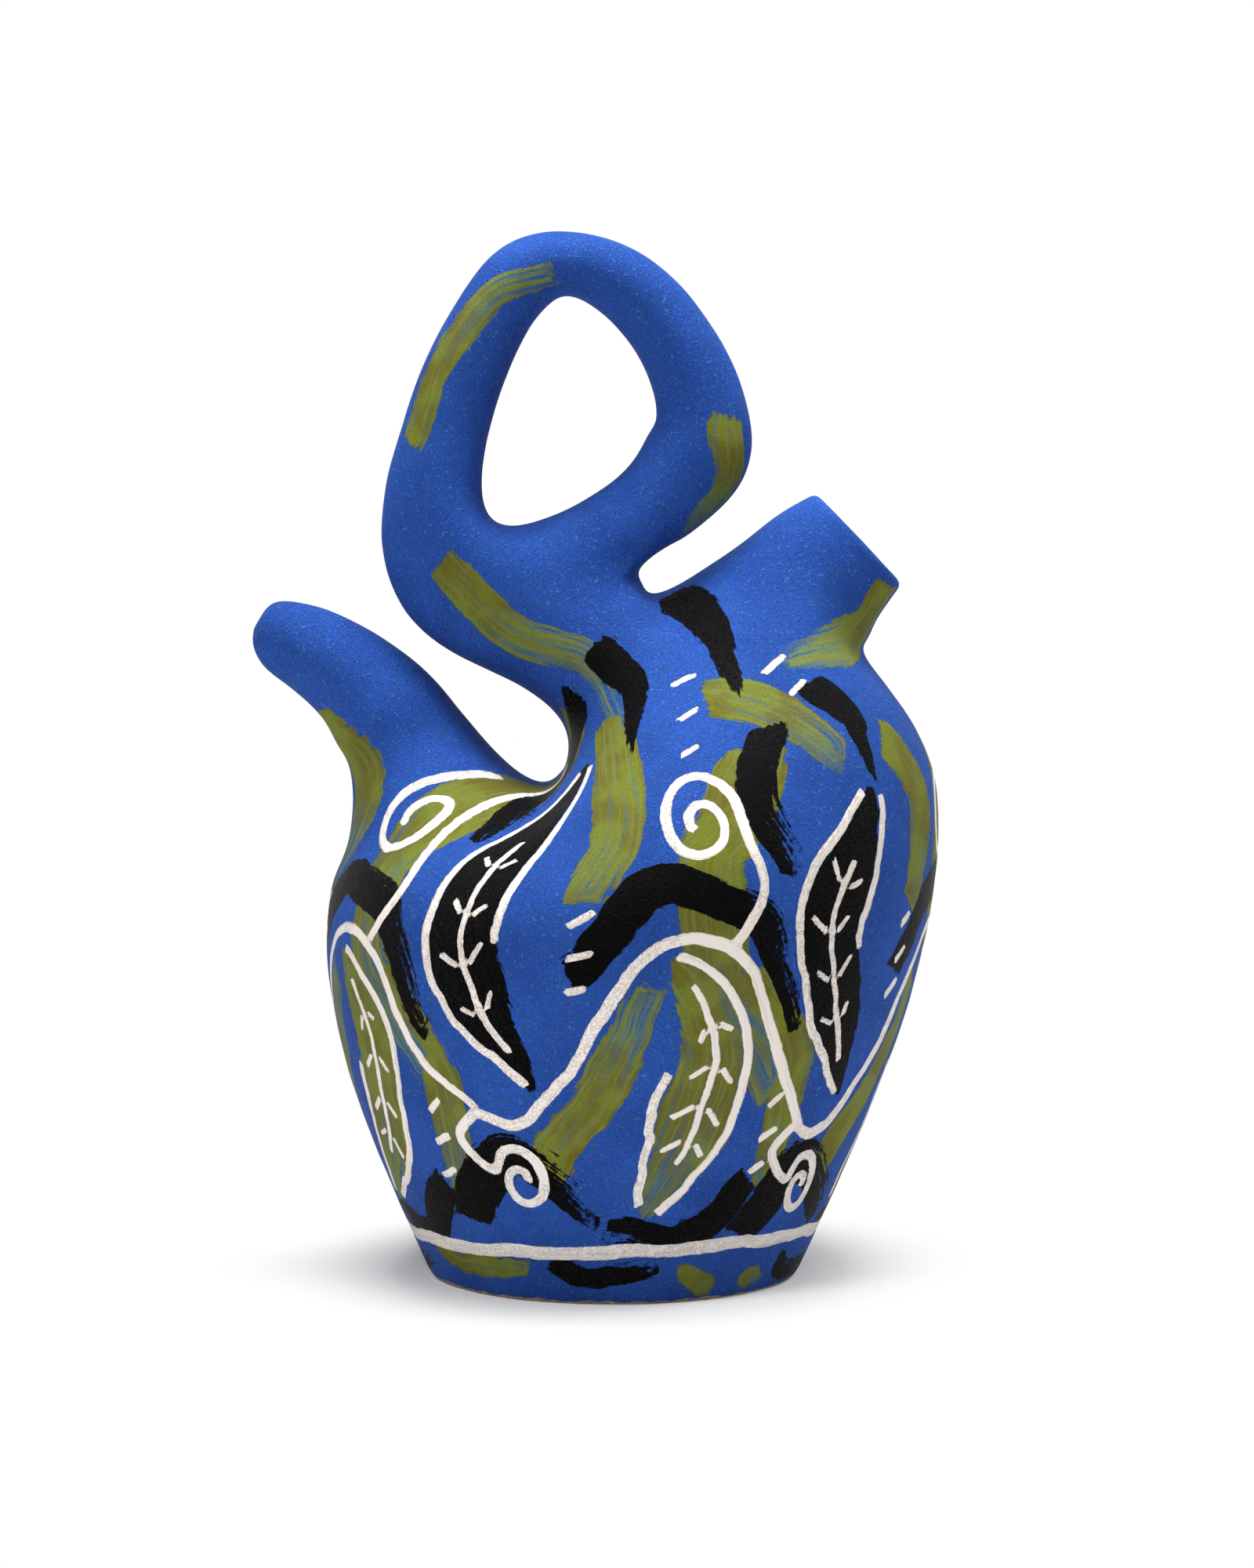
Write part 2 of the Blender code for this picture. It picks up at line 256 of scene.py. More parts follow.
def pullShoulder(cage, belly, bellyPoints):
    spout, stem, filler = rootRing("spout"), rootRing("stem"), rootRing("filler")
    drop = Vector((0, 0, roots["crotchDrop"]))
    for left, right in ((spout, stem), (stem, filler)):    # points that neighbours share, back and front
        left[1] = right[3] = (left[1] + right[3]) / 2 - drop
        left[7] = right[5] = (left[7] + right[5]) / 2 - drop
    top = [*filler[0:4], stem[2], *spout[1:8], stem[6], *filler[5:8]]
    half = pullLoop(cage, belly, shoulderPoints(bellyPoints, top), "shoulder")
    edge = pullLoop(cage, half, top, "shoulder")
    spoutCrotch = strut(cage, edge[5], edge[11], [place(roots["spoutCrotch"])])
    fillerCrotch = strut(cage, edge[3], edge[13], [place(roots["fillerCrotch"])])
    spoutLoop = [*spoutCrotch, *edge[5:12]]
    stemLoop = [*fillerCrotch, edge[3], edge[4], edge[5], *spoutCrotch, edge[11], edge[12], edge[13]]
    fillerLoop = [*edge[0:4], *fillerCrotch, *edge[13:16]]
    return spoutLoop, stemLoop, fillerLoop


# spout: rises from the shoulder and bends over, tapers, and rounds over at its nose to a thin hole

spout = {
    # side, height, half width, angle
    "stations": [
        (-0.0863, 0.0430, 0.0234, 110.6),
        (-0.0969, 0.0564, 0.0230, 124.8),
        (-0.1077, 0.0683, 0.0192, 143.4),
        (-0.1235, 0.0794, 0.0169, 153.5),
        (-0.1312, 0.0829, 0.0155, 154.1),
        (-0.1376, 0.0857, 0.0141, 155.9),
        (-0.1419, 0.0887, 0.0111, 154.5),
        (-0.1440, 0.0904, 0.0078, 152.8),
        (-0.1446, 0.0913, 0.0045, 150.0),
    ],
    "boreRadius": 0.0031,
    "thinning": [0.2, 0.55, 1],    # of the wall, at the last rings
    "slipInside": 7,               # millimetres that the slip goes in
}


def pullLimb(cage, loop, stations, piece):
    loops = [loop]
    for side, height, width, angle in stations:
        points = limbRing(place((side, height)), angle, width, width)
        loops.append(pullLoop(cage, loops[-1], points, piece))
    return loops


# filler neck: a short cone that ends in the mouth

neck = {
    # side, height, half width, angle
    "stations": [
        (0.0661, 0.1030, 0.0298, 48.7),
        (0.0722, 0.1117, 0.0275, 43.4),
        (0.0827, 0.1205, 0.0244, 43.3),
    ],
    "slipInside": 10,
}


# handle: a stem that leans to the spout side and opens into a ring

stem = {
    # side, height, half width, half depth, angle
    "stations": [
        (-0.0093, 0.0773, 0.0302, 0.0360, 157.9),
        (-0.0240, 0.0897, 0.0308, 0.0270, 132.6),
        (-0.0360, 0.1021, 0.0538, 0.0220, 110.6),
    ],
    "forkCrotch": (-0.0491, 0.1240),
}

handleRing = {
    "depth": 0.016,
    # side, height, half width
    "stations": [
        (-0.0779, 0.1286, 0.0213),
        (-0.0729, 0.1624, 0.0167),
        (-0.0657, 0.1859, 0.0156),
        (-0.0541, 0.2084, 0.0146),
        (-0.0415, 0.2226, 0.0149),
        (-0.0239, 0.2265, 0.0129),
        (-0.0021, 0.2163, 0.0146),
        (0.0154, 0.1953, 0.0154),
        (0.0245, 0.1707, 0.0181),
        (0.0218, 0.1527, 0.0214),
        (0.0047, 0.1330, 0.0156),
    ],
}


def pullStem(cage, loop):
    for side, height, width, depth, angle in stem["stations"]:
        points = limbRing(place((side, height)), angle, width, depth)
        loop = pullLoop(cage, loop, points, "handle_stem")
    return loop, points


def pullHandleRing(cage, fork, forkPoints):
    foot = (forkPoints[2] + forkPoints[6]) / 2
    arch = []
    for a in (math.pi / 4, math.pi / 2, math.pi * 3 / 4):
        high = foot.lerp(place(stem["forkCrotch"]), math.sin(a))
        arch.append(high + (forkPoints[2] - foot) * math.cos(a))
    back, top, front = strut(cage, fork[2], fork[6], arch)
    left = [top, back, *fork[2:7], front]
    right = [top, back, fork[2], fork[1], fork[0], fork[7], fork[6], front]
    bm = editMesh(cage)
    leftPoints = [bm.verts[i].co.copy() for i in left]
    rightPoints = [bm.verts[i].co.copy() for i in right]
    stations = handleRing["stations"]
    centres = [place(s) for s in stations]
    start, end = sum(leftPoints, Vector()), sum(rightPoints, Vector())
    centres = [start / clay["limbSides"], *centres, end / clay["limbSides"]]
    placed = proud(centres)
    loop = left
    for i, width in enumerate(proud([s[2] for s in stations]), 1):
        angle = heading(centres[i - 1], centres[i + 1])
        points = limbRing(placed[i], angle, width, (width + handleRing["depth"]) / 2)
        loop = pullLoop(cage, loop, points, "handle_loop")
    pullLoop(cage, loop, rightPoints, "handle_loop")
    bpy.ops.mesh.select_all(action="SELECT")
    bpy.ops.mesh.remove_doubles(threshold=clay["mergeGap"])


def modelCage():
    cage, belly, bellyPoints = startBody()
    spoutLoop, stemLoop, fillerLoop = pullShoulder(cage, belly, bellyPoints)
    spoutLoops = pullLimb(cage, spoutLoop, spout["stations"], "spout")
    bpy.ops.object.vertex_group_add()
    for loop, share in zip(spoutLoops[-len(spout["thinning"]):], spout["thinning"]):
        pickLoop(cage, loop)
        bpy.context.tool_settings.vertex_group_weight = share
        bpy.ops.object.vertex_group_assign()
    pullLimb(cage, fillerLoop, neck["stations"], "filler_neck")
    fork, forkPoints = pullStem(cage, stemLoop)
    pullHandleRing(cage, fork, forkPoints)
    bpy.ops.mesh.normals_make_consistent(inside=False)
    bpy.ops.object.mode_set(mode="OBJECT")
    return cage


# skin: the cage smoothed, and left a little uneven as by hand

def addModifier(obj, kind, **settings):
    modifier = obj.modifiers.new(kind.lower(), kind)
    for key, value in settings.items():
        setattr(modifier, key, value)
    return modifier.name


def makeSkin(cage, level):
    pickOnly(cage)
    bpy.ops.object.duplicate()
    skin = bpy.context.object
    smooth = addModifier(skin, "SUBSURF", levels=level, render_levels=level)
    bpy.ops.object.modifier_apply(modifier=smooth)
    clouds = bpy.data.textures.new("unevenHand", "CLOUDS")
    clouds.noise_scale = clay["unevenSize"]
    uneven = {"texture": clouds, "texture_coords": "LOCAL", "strength": clay["uneven"], "mid_level": 0.5}
    bpy.ops.object.modifier_apply(modifier=addModifier(skin, "DISPLACE", **uneven))
    normals = np.empty(len(skin.data.vertices) * 3, np.float32)
    skin.data.vertex_normals.foreach_get("vector", normals)
    skin.data.attributes.new("skinNormal", "FLOAT_VECTOR", "POINT").data.foreach_set("vector", normals)
    return skin


def cutPiece(skin, name):    # one piece of the skin, given the clay's thickness
    pickOnly(skin)
    bpy.ops.object.duplicate()
    piece = bpy.context.object
    piece.name = piece.data.name = name + "_skin"
    piece.active_material_index = cutPieces.index(name)
    bpy.ops.object.mode_set(mode="EDIT")
    bpy.ops.mesh.select_mode(type="FACE")
    bpy.ops.mesh.select_all(action="DESELECT")
    bpy.ops.object.material_slot_select()
    bpy.ops.mesh.select_all(action="INVERT")
    bpy.ops.mesh.delete(type="FACE")
    bpy.ops.object.mode_set(mode="OBJECT")
    own = cutPieces.index(name)
    wall = {"thickness": clay["wall"], "material_offset": innerSlot - own}
    wall["material_offset_rim"] = rimSlot - own
    if name == "spout":
        tip = spout["stations"][-1][2] - spout["boreRadius"]
        wall["vertex_group"] = piece.vertex_groups[0].name
        wall["invert_vertex_group"] = True
        wall["thickness_vertex_group"] = tip / clay["wall"]
    bpy.ops.object.modifier_apply(modifier=addModifier(piece, "SOLIDIFY", offset=-1, **wall))
    return piece


def roundLip(piece, centre, outward):    # the cut edge at an open end becomes half-round
    pickOnly(piece)
    bpy.ops.object.mode_set(mode="EDIT")
    bpy.ops.mesh.select_mode(type="EDGE")
    bpy.ops.mesh.select_all(action="DESELECT")
    bm = editMesh(piece)
    outer, inner = [], []
    for edge in bm.edges:
        middle = (edge.verts[0].co + edge.verts[1].co) / 2
        atLip = (middle - centre).dot(outward) > -clay["wall"]
        if atLip and all(face.material_index == rimSlot for face in edge.link_faces):
            edge.select_set(True)
            ends = sorted(edge.verts, key=lambda v: (v.co - centre).length)
            inner.append(ends[0].co.copy())
            outer.append(ends[1].co.copy())
    bmesh.update_edit_mesh(piece.data)
    count = len(bm.verts)
    bpy.ops.mesh.subdivide(number_cuts=clay["lipSteps"] - 1)
    bm = editMesh(piece)
    outer, inner = np.array(outer), np.array(inner)
    across = inner - outer
    out = np.array(outward)
    for v in bm.verts[count:]:
        spot = np.array(v.co)
        share = np.einsum("ij,ij->i", spot - outer, across) / np.einsum("ij,ij->i", across, across)
        off = np.linalg.norm(outer + share[:, None] * across - spot, axis=1)
        k = int(off.argmin())
        turn = math.pi * share[k]
        half = (outer[k] - inner[k]) / 2
        end = out - half * (out @ half) / (half @ half)
        end *= np.linalg.norm(half) / np.linalg.norm(end)
        v.co = Vector((outer[k] + inner[k]) / 2 + half * math.cos(turn) + end * math.sin(turn))
    bmesh.update_edit_mesh(piece.data)
    bpy.ops.object.mode_set(mode="OBJECT")


# floor: drawn down from the foot of the wall to a flat base, and closed above

floor = {
    "baseRadius": 0.0685,
    "edgeSteps": 8,
    "edgeDrop": 0.5,      # how far the edge follows the wall's slope, as a share of the foot's height
    "edgeTuck": 0.035,    # and how far it runs along the ground, as a share of the base's radius
    "baseRings": [0.94, 0.72, 0.40, 0.12],    # shares of the base's radius
}


def makeFloor(skin):
    pickOnly(skin)
    bpy.ops.object.mode_set(mode="EDIT")
    bpy.ops.mesh.select_mode(type="EDGE")
    bpy.ops.mesh.select_all(action="DESELECT")
    bm = editMesh(skin)
    for edge in bm.edges:
        if edge.is_boundary and max(v.co.z for v in edge.verts) < body["footHeight"] + clay["wall"] / 2:
            edge.select_set(True)
    bmesh.update_edit_mesh(skin.data)
    bpy.ops.mesh.duplicate()
    bpy.ops.mesh.separate(type="SELECTED")
    bpy.ops.object.mode_set(mode="OBJECT")
    piece = next(o for o in bpy.context.selected_objects if o != skin)
    piece.name = piece.data.name = "floor_disc_skin"
    pickOnly(piece)
    bpy.ops.object.mode_set(mode="EDIT")
    bpy.ops.mesh.select_all(action="SELECT")

    # an edge that leaves the wall's slope and turns under
    top, base = Vector((body["footRadius"], body["footHeight"])), Vector((floor["baseRadius"], 0))
    slope = Vector((body["bellyRadius"] - body["footRadius"], 0)) * (math.pi / 2)
    slope.y = body["bellyHeight"] - body["footHeight"]
    first = top - slope.normalized() * (body["footHeight"] * floor["edgeDrop"])
    last = base + Vector((floor["baseRadius"] * floor["edgeTuck"], 0))
    radius, height = top
    for step in range(1, floor["edgeSteps"] + 1):
        t = step / floor["edgeSteps"]
        s = 1 - t
        spot = top * s**3 + first * (3 * s * s * t) + last * (3 * s * t * t) + base * t**3
        bpy.ops.mesh.extrude_edges_move(TRANSFORM_OT_translate={"value": (0, 0, spot.y - height)})
        shrink = spot.x / radius
        bpy.ops.transform.resize(value=(shrink, shrink, 1), center_override=(0, 0, spot.y))
        radius, height = spot
    bpy.ops.transform.resize(value=(1, 1, 0), center_override=(0, 0, 0))    # quite flat
    closeDisc(radius, 0)
    bm = editMesh(piece)
    for edge in bm.edges:
        edge.select_set(edge.is_boundary)
    bmesh.update_edit_mesh(piece.data)
    closeDisc(body["footRadius"], body["footHeight"])
    bpy.ops.mesh.select_all(action="SELECT")
    bpy.ops.mesh.normals_make_consistent(inside=False)
    bpy.ops.object.mode_set(mode="OBJECT")
    return piece


def closeDisc(radius, height):    # carry the picked ring to the middle
    for share in floor["baseRings"]:
        bpy.ops.mesh.extrude_edges_move()
        shrink = share * floor["baseRadius"] / radius
        bpy.ops.transform.resize(value=(shrink, shrink, 1), center_override=(0, 0, height))
        radius = share * floor["baseRadius"]
    bpy.ops.mesh.extrude_edges_move()
    bpy.ops.mesh.merge(type="CENTER")


# brushwork: a place on the body is degrees round it from the front, positive to the filler side, and
# millimetres up; a place on the limbs is millimetres to the side and up, seen from the front or the back

degreeRun = math.radians(body["bellyRadius"] / millimetre)    # millimetres round the belly for a degree

widthAlong = {    # of a stroke, from its start at 0 to its end at 1
    "line": lambda t: 1 - 0.2 * t**6,    # thinner as the brush lifts
    "sweep": lambda t: np.minimum(1, 0.8 + 2 * t) * (1 - 0.3 * t**4),    # full at once, then drawn out
    "leaf": lambda t: np.maximum(np.sin(np.pi * np.clip(t, 0, 1)), 0) ** 0.72,    # pointed at both ends
    "comma": lambda t: np.minimum(1, 0.55 + 4 * t) * (1 - t) ** 0.6,    # heavy head, thin tail
}

hand = {    # how a brush in the hand strays; lengths in millimetres
    "seed": 7,
    "pointGap": 1.4,         # between the points of a path
    "waves": (43, 23, 9),    # points in a wave of the path, the long ones straying most
    "cutSlant": 0.45,        # of a stroke's ends, off square
    "freshRun": 900,         # each stroke has its bristle marks from another place in so long a run
    "ripple": 0.06,          # of a stroke's width
    "rippleRun": 37,         # points
    "lineRipple": 0.08,      # of a line that is laid along a stroke
    "lineRippleRun": 7,
    "dashLean": 14,          # degrees
    "dashLength": (0.8, 1.2),
    "dashWander": 0.2,
    "curlPoints": 14,
    "curlIn": 0.84,          # how much of its radius a curl loses
    "curlWander": 0.35,
    "curlFacing": 0.57,      # a curl is left out where the clay falls away more, as beside the spout
    "drying": 1.5,           # how late in a stroke the brush runs dry
}

leafLook = {    # millimetres, and shares of the leaf's length
    "outline": 1.9,
    "midrib": 1.5,
    "vein": 1.25,
    "dryness": (0.1, 0.5),
    "wander": 0.8,
    "slip": 2.0,             # the outline never falls quite on the stroke
    "clear": 0.6,
    "stray": 1.1,
    "sides": ((1, 0.02, 0.97), (-1, 0.45, 0.98)),    # side, and where its outline starts and ends
    "midribSpan": (0.12, 0.78),
    "veins": (0.26, 0.7, 0.14),    # from, to, apart
    "veinPoints": 8,
    "veinGap": 2.6,
    "veinReach": (0.5, 0.68),      # shares of the leaf's half width there
    "veinLean": 0.7,
}

stamping = {
    "points": 14,    # of a stroke at once
    "reach": 5,      # millimetres past the stroke's edge
    "endReach": 3,
    "bare": -9,      # edge distance where there is no stroke
}


class Brush:
    def __init__(self, skin):
        self.tree = BVHTree.FromObject(skin, bpy.context.evaluated_depsgraph_get())
        self.random = np.random.default_rng(hand["seed"])
        self.strokes = {"olive": [], "black": [], "cream": []}

    def onSkin(self, view, path):    # the path's points laid on the clay, with the skin's normals
        spots, normals = [], []
        for side, up in path * millimetre:
            if view == "round":
                turn = math.radians(side / millimetre / degreeRun)
                out = Vector((math.sin(turn), -math.cos(turn), 0))
                start = Vector((body["drift"], 0, up)) + out
            else:
                out = Vector((0, -1 if view == "front" else 1, 0))
                start = Vector((side, 0, up)) + out
            spot, normal, _, _ = self.tree.ray_cast(start, -out)
            if spot is not None:
                spots.append(spot)
                normals.append(normal)
        return np.array(spots) / millimetre, np.array(normals)

    def path(self, view, points, wander):    # a smooth line through the points that strays as a hand does
        points = np.array(points, float)
        if view == "round":
            points[:, 0] *= degreeRun
        ends = np.vstack([2 * points[0] - points[1], points, 2 * points[-1] - points[-2]])
        run = []
        for a, b, c, d in zip(ends, ends[1:], ends[2:], ends[3:]):
            count = max(3, int(np.linalg.norm(c - b) / hand["pointGap"]))
            t = np.linspace(0, 1, count, endpoint=False)[:, None]
            bend = t**2 * (2 * a - 5 * b + 4 * c - d) + t**3 * (3 * b - a - 3 * c + d)
            run.append(b + (t * (c - a) + bend) / 2)
        run = np.vstack([*run, points[-1:]])
        count = np.arange(len(run))
        for wave in hand["waves"]:
            stray = wander * wave / hand["waves"][0]
            for axis in (0, 1):
                run[:, axis] += stray * np.sin(2 * np.pi * (count / wave + self.random.random()))
        return run

    def lay(self, colour, spots, normals, half, dry):
        if len(spots) < 2:
            return
        ends = []    # where the stroke is cut off, not quite square
        for spot, beside, normal in ((spots[0], spots[1], normals[0]), (spots[-1], spots[-2], normals[-1])):
            inward = (beside - spot) / np.linalg.norm(beside - spot)
            inward += np.cross(normal, inward) * self.random.uniform(-hand["cutSlant"], hand["cutSlant"])
            ends.append((spot, inward / np.linalg.norm(inward)))
        runs = np.linalg.norm(np.diff(spots, axis=0), axis=1)
        along = np.concatenate([[0], np.cumsum(runs)]) + self.random.uniform(0, hand["freshRun"])
        stroke = {"spots": spots, "normals": normals, "half": half, "dry": dry}
        self.strokes[colour].append({**stroke, "along": along, "ends": ends})

    def stroke(self, colour, view, points, half, wander, shape="line", dry=(0, 0)):
        spots, normals = self.onSkin(view, self.path(view, points, wander))
        t = np.linspace(0, 1, len(spots))
        waves = t * len(t) / hand["rippleRun"]
        ripple = 1 + hand["ripple"] * np.sin(2 * np.pi * (waves + self.random.random()))
        widths = half * widthAlong[shape](t) * ripple
        self.lay(colour, spots, normals, widths, dry[0] + (dry[1] - dry[0]) * t ** hand["drying"])
        return spots, normals, widths

    def settle(self, colour, spots, half):    # lay a line that is already near the skin
        laid, normals = [], []
        for spot in spots:
            near, normal, _, _ = self.tree.find_nearest(Vector(spot) * millimetre)
            laid.append(near)
            normals.append(normal)
        t = np.linspace(0, 1, len(laid))
        waves = t * len(t) / hand["lineRippleRun"]
        widths = half * (1 + hand["lineRipple"] * np.sin(waves + self.random.uniform(0, 6)))
        self.lay(colour, np.array(laid) / millimetre, np.array(normals), widths, 0 * t)

    def dashes(self, view, places, length, lean, half):
        scale = degreeRun if view == "round" else 1
        for side, up in places:
            turn = math.radians(lean + self.random.uniform(-hand["dashLean"], hand["dashLean"]))
            reach = length / 2 * self.random.uniform(*hand["dashLength"])
            right, high = reach * math.cos(turn) / scale, reach * math.sin(turn)
            ends = [(side - right, up - high), (side + right, up + high)]
            self.stroke("cream", view, ends, half, hand["dashWander"])

    def leaf(self, colour, view, points, half):    # a broad stroke, outlined and veined in cream
        wander, dry = leafLook["wander"], leafLook["dryness"]
        spots, normals, widths = self.stroke(colour, view, points, half, wander, "leaf", dry)
        along = np.gradient(spots, axis=0)
        along /= np.linalg.norm(along, axis=1)[:, None]
        side = np.cross(normals, along)
        count = len(spots)
        slip = self.random.uniform(-leafLook["slip"], leafLook["slip"], 2)
        for sign, first, last in leafLook["sides"]:
            stray = leafLook["stray"] * np.sin(np.linspace(0, 6, count) + self.random.uniform(0, 6))
            off = sign * (widths + leafLook["clear"] + stray)
            edge = spots + side * off[:, None] + along * slip[0] + side * slip[1]
            self.settle("cream", edge[int(count * first):int(count * last)], leafLook["outline"])
        first, last = leafLook["midribSpan"]
        self.settle("cream", spots[int(count * first):int(count * last)], leafLook["midrib"])
        for share in np.arange(*leafLook["veins"]):
            k = int(count * share)
            for sign in (1, -1):
                reach = widths[k] * self.random.uniform(*leafLook["veinReach"])
                start = spots[k] + side[k] * sign * leafLook["veinGap"]
                tip = spots[k] + side[k] * (sign * reach) + along[k] * reach * leafLook["veinLean"]
                self.settle("cream", np.linspace(start, tip, leafLook["veinPoints"]), leafLook["vein"])

    def scroll(self, view, lead, centre, radius, start, winding, half):    # a tendril that curls in
        turn = np.linspace(0, 2 * np.pi * abs(winding), hand["curlPoints"])
        reach = radius * (1 - hand["curlIn"] * turn / turn[-1])
        angle = math.radians(start) + turn * np.sign(winding)
        scale = degreeRun if view == "round" else 1
        curl = np.stack([centre[0] + reach * np.cos(angle) / scale, centre[1] + reach * np.sin(angle)], 1)
        spots, normals, _ = self.stroke("cream", view, [*lead, *curl], half, hand["curlWander"])
        out = spots[:, :2] - [body["drift"] / millimetre, 0]
        facing = np.einsum("ij,ij->i", normals[:, :2], out) / np.linalg.norm(out, axis=1)
        if np.median(facing) < hand["curlFacing"]:
            self.strokes["cream"].pop()

    def paint(self, points, outside):    # each layer's edge distance, places across and along, dryness
        layers = {}
        for colour, strokes in self.strokes.items():
            layers[colour] = np.zeros((len(points), 4))
            layers[colour][:, 0] = stamping["bare"]
            for stroke in strokes:
                for first in range(0, len(stroke["spots"]) - 1, stamping["points"]):
                    part = slice(first, first + stamping["points"] + 1)
                    stamp(layers[colour], points, outside, stroke, part)
        return layers


def stamp(values, points, outside, stroke, part):    # a stretch of a stroke, on the points round it
    keys = ("spots", "normals", "half", "dry", "along")
    spots, normals, half, dry, along = [stroke[key][part] for key in keys]
    pad = half.max() + stamping["reach"]
    low, high = spots.min(0) - pad, spots.max(0) + pad
    near = np.flatnonzero(outside & np.all((points > low) & (points < high), axis=1))
    if not len(near):
        return
    step = np.diff(spots, axis=0)
    long = np.maximum(np.einsum("ij,ij->i", step, step), 1e-9)
    away = points[near][:, None, :] - spots[None, :-1, :]
    share = np.clip(np.einsum("ijk,jk->ij", away, step) / long, 0, 1)
    gap = away - share[:, :, None] * step
    far = np.linalg.norm(gap, axis=2)
    inside = half[:-1] + share * np.diff(half) - far
    toEnds = (along[:-1] - stroke["along"][0], stroke["along"][-1] - along[1:])
    for (spot, inward), toEnd in zip(stroke["ends"], toEnds):
        close = toEnd < 2 * half.max() + stamping["endReach"]
        inside[:, close] = np.minimum(inside[:, close], ((points[near] - spot) @ inward)[:, None])
    k = inside.argmax(1)
    row = np.arange(len(near))
    better = inside[row, k] > values[near, 0]
    row, k, near = row[better], k[better], near[better]
    side = np.cross(normals[k], step[k])
    values[near, 0] = inside[row, k]
    values[near, 1] = far[row, k] * np.sign(np.einsum("ij,ij->i", gap[row, k], side))
    values[near, 2] = along[k] + share[row, k] * np.sqrt(long[k])
    values[near, 3] = dry[k] + share[row, k] * (dry[k + 1] - dry[k])


# pattern of the body: a running vine with leaves and curls, given for one of its repeats from one low point
# to the next, in degrees and millimetres

vine = {
    "repeats": 5,
    "first": -28,       # degrees from the front to a low point
    "stray": (2.5, 4),  # how far a repeat is off the next one, degrees and millimetres
    "line": [(-7, 73), (3, 69), (15, 92), (25, 124), (36, 140), (47, 130), (56, 98)],
    "half": 2.4,
    "leaves": [    # colour, spine, half width
        ("black", [(6, 82), (-3, 116), (-6, 152), (6, 198)], 15.5),
        ("olive", [(34, 132), (42, 102), (40, 68), (28, 32)], 15),
    ],
    "scrolls": [    # way in from the vine, centre, radius, start, turns
        ([(45, 136), (51, 156)], (40, 180), 19, 345, 1.7),
        ([(-6, 74), (-12, 62)], (1, 46), 14, 165, -1.5),
    ],
    "scrollHalf": 2.1,
    "dashes": [(16, 120), (17, 133), (17, 146), (57, 50), (58, 63), (58, 76)],
    "dash": (10, 24, 1.6),    # length, lean, half width
    "olive": [    # path, half width
        ([(-17, 212), (-31, 172), (-29, 126), (-15, 86)], 13),
        ([(5, 48), (20, 82), (30, 122)], 9),
        ([(47, 128), (60, 92), (61, 42)], 9.5),
        ([(14, 216), (23, 188), (17, 150)], 11),
        ([(-34, 15), (-20, 9), (-2, 11)], 5),
    ],
    "black": [
        ([(15, 126), (31, 157), (49, 146), (61, 106)], 8),
        ([(-17, 30), (0, 56), (19, 32)], 9.5),
        ([(55, 46), (43, 25), (19, 27)], 7.5),
        ([(-12, 222), (-20, 196), (-16, 168)], 8),
        ([(4, 14), (17, 8), (33, 12)], 5),
    ],
    "dryness": {"olive": (0, 0.3, 0.9), "black": (0.45, 0.8, 1)},    # at the start, at the end from and to
    "sweepWander": 1.1,
    "lineWander": 0.7,
    "footLine": 21,
    "footHalf": 3.1,
    "footWave": 1.6,
    "footWander": 0.4,
}


def brushBody(brush):
    step = 360 / vine["repeats"]
    line = []
    for repeat in range(vine["repeats"]):
        turn = vine["first"] + step * repeat
        stray = brush.random.uniform(-1, 1, 2) * vine["stray"]

        def moved(points):
            return [(turn + stray[0] + side, stray[1] + up) for side, up in points]

        line += moved(vine["line"])
        for colourName, (atStart, least, most) in vine["dryness"].items():
            for points, half in vine[colourName]:
                dry = (atStart, brush.random.uniform(least, most))
                brush.stroke(colourName, "round", moved(points), half, vine["sweepWander"], "sweep", dry)
        for colourName, points, half in vine["leaves"]:
            brush.leaf(colourName, "round", moved(points), half)
        for lead, centre, *curl in vine["scrolls"]:
            brush.scroll("round", moved(lead), moved([centre])[0], *curl, vine["scrollHalf"])
        brush.dashes("round", moved(vine["dashes"]), *vine["dash"])
    line.append((line[0][0] + 360, line[0][1]))
    brush.stroke("cream", "round", line, vine["half"], vine["lineWander"])
    foot = []
    for side in range(-180, 181, 20):
        wave = vine["footWave"] * math.sin(math.radians(2 * side + 40))
        foot.append((side, vine["footLine"] + wave))
    brush.stroke("cream", "round", foot, vine["footHalf"], vine["footWander"])
    print("brushed the body:", {name: len(strokes) for name, strokes in brush.strokes.items()})


limbs = {    # colour, path, half width, shape, on the front and the back alike
    "strokes": [
        ("olive", [(-76, 318), (-66, 350), (-46, 374), (-22, 384)], 6.5, "sweep"),
        ("olive", [(44, 330), (43, 306), (28, 284)], 7.5, "sweep"),
        ("olive", [(-66, 274), (-40, 250), (-8, 236), (6, 214)], 8.0, "sweep"),
        ("olive", [(104, 266), (92, 248), (62, 238)], 9.0, "sweep"),
        ("olive", [(34, 226), (60, 222), (86, 204)], 10.0, "sweep"),
        ("black", [(22, 262), (38, 250), (46, 226)], 9.5, "comma"),
        ("black", [(-8, 244), (8, 228), (6, 206)], 9.0, "comma"),
        ("black", [(72, 232), (88, 218), (98, 196)], 9.0, "comma"),
    ],
    "dashes": [(26, 232), (28, 220), (28, 208), (60, 238), (68, 230)],
    "dash": (9, 30, 1.5),
    "dryness": (0.1, 0.5, 0.95),    # at the start, at the end from and to
    "wander": 0.6,
}


def brushLimbs(brush):
    atStart, least, most = limbs["dryness"]
    for view in ("front", "back"):
        for colourName, points, half, shape in limbs["strokes"]:
            dry = (atStart, brush.random.uniform(least, most))
            brush.stroke(colourName, view, points, half, limbs["wander"], shape, dry)
        brush.dashes(view, limbs["dashes"], *limbs["dash"])


